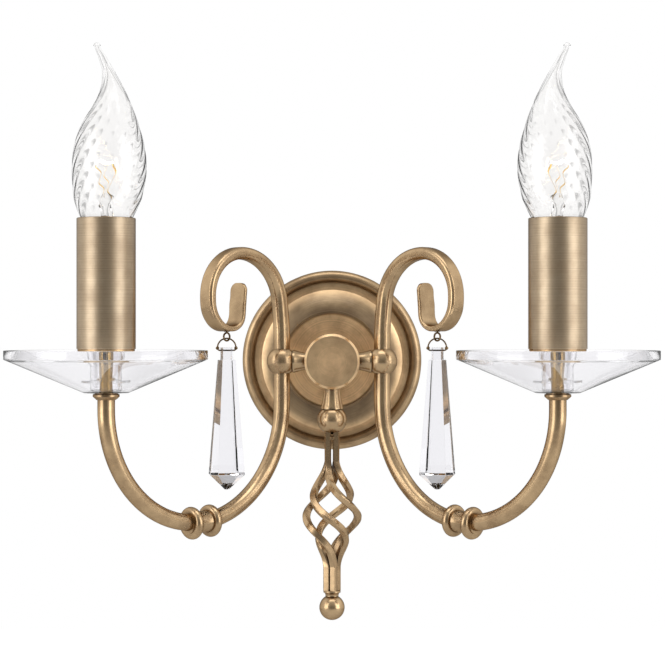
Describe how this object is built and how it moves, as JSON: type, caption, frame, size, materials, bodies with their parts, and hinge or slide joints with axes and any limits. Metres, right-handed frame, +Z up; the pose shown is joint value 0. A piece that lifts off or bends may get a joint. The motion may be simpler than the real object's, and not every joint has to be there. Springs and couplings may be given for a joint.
{
  "type": "wall sconce",
  "caption": "Aged brass wall sconce: round plate, hub, curved forward arms with scrolls and glass drops, glass dishes under candle lamps, and a twisted basket finial.",
  "frame": {"origin": "centre of the wall fixing on the wall plane, on the round plate's axis", "axes": "+X to the viewer's right, +Y into the wall, +Z up"},
  "size_m": [0.3276, 0.1874, 0.3044],
  "materials": {
    "aged_brass": "aged, satin, with dark patina",
    "candle_brass": "aged, brushed round the tube",
    "wire_brass": "aged wire",
    "plain_brass": "bright",
    "zinc_steel": "zinc plated",
    "terminal_plastic": "moulded",
    "holder_plastic": "moulded",
    "clear_glass": "clear, polished",
    "crystal_glass": "cut and polished",
    "lamp_glass": "clear, fluted",
    "filament_wire": "fine wire"
  },
  "bodies": {
    "sconce": {"wall_bracket": "zinc_steel", "hub_nipple": "zinc_steel", "hub_locknut": "zinc_steel", "earth_screw": "plain_brass", "terminal_block": "terminal_plastic", "backplate": "aged_brass", "hub_body": "aged_brass", "hub_cap": "aged_brass", "bottom_neck": "aged_brass", "bottom_ball": "aged_brass", "basket_bar_1": "aged_brass", "basket_bar_2": "aged_brass", "basket_bar_3": "aged_brass", "basket_bar_4": "aged_brass", "basket_pin": "aged_brass", "basket_collar": "aged_brass", "finial_ball": "aged_brass", "side_neck_left": "aged_brass", "side_ball_left": "aged_brass", "scroll_left": "aged_brass", "inner_arm_left": "aged_brass", "knuckle_left": "aged_brass", "outer_arm_left": "aged_brass", "eyelet_left": "wire_brass", "cup_collar_left": "aged_brass", "bobeche_left": "clear_glass", "spindle_left": "aged_brass", "candle_seat_left": "aged_brass", "lampholder_left": "holder_plastic", "candle_tube_left": "candle_brass", "side_neck_right": "aged_brass", "side_ball_right": "aged_brass", "scroll_right": "aged_brass", "inner_arm_right": "aged_brass", "knuckle_right": "aged_brass", "outer_arm_right": "aged_brass", "eyelet_right": "wire_brass", "cup_collar_right": "aged_brass", "bobeche_right": "clear_glass", "spindle_right": "aged_brass", "candle_seat_right": "aged_brass", "lampholder_right": "holder_plastic", "candle_tube_right": "candle_brass"},
    "lamp_left": {"lamp_glass_left": "lamp_glass", "lamp_stem_left": "lamp_glass", "lamp_filament_left": "filament_wire", "lamp_cap_left": "plain_brass"},
    "clip_left": {"clip_left": "wire_brass"},
    "crystal_left": {"crystal_left": "crystal_glass"},
    "lamp_right": {"lamp_glass_right": "lamp_glass", "lamp_stem_right": "lamp_glass", "lamp_filament_right": "filament_wire", "lamp_cap_right": "plain_brass"},
    "clip_right": {"clip_right": "wire_brass"},
    "crystal_right": {"crystal_right": "crystal_glass"}
  },
  "joints": [
    {"name": "lamp_turn_left", "type": "hinge", "parent": "sconce", "child": "lamp_left", "pos_m": [-0.11296, -0.13656, 0.06], "axis": [0, 0, 1], "range_deg": [-180, 180]},
    {"name": "clip_swing_left", "type": "hinge", "parent": "sconce", "child": "clip_left", "pos_m": [-0.05583, -0.07943, 0.01135], "axis": [-0.1564, 0.9877, 0], "range_deg": [-6, 12]},
    {"name": "crystal_swing_left", "type": "hinge", "parent": "clip_left", "child": "crystal_left", "pos_m": [-0.05583, -0.07943, 0.00625], "axis": [0.9877, 0.1564, 0], "range_deg": [-20, 20]},
    {"name": "lamp_turn_right", "type": "hinge", "parent": "sconce", "child": "lamp_right", "pos_m": [0.11296, -0.13656, 0.06], "axis": [0, 0, 1], "range_deg": [-180, 180]},
    {"name": "clip_swing_right", "type": "hinge", "parent": "sconce", "child": "clip_right", "pos_m": [0.05583, -0.07943, 0.01135], "axis": [0.1564, 0.9877, 0], "range_deg": [-12, 6]},
    {"name": "crystal_swing_right", "type": "hinge", "parent": "clip_right", "child": "crystal_right", "pos_m": [0.05583, -0.07943, 0.00625], "axis": [0.9877, -0.1564, 0], "range_deg": [-20, 20]}
  ]
}
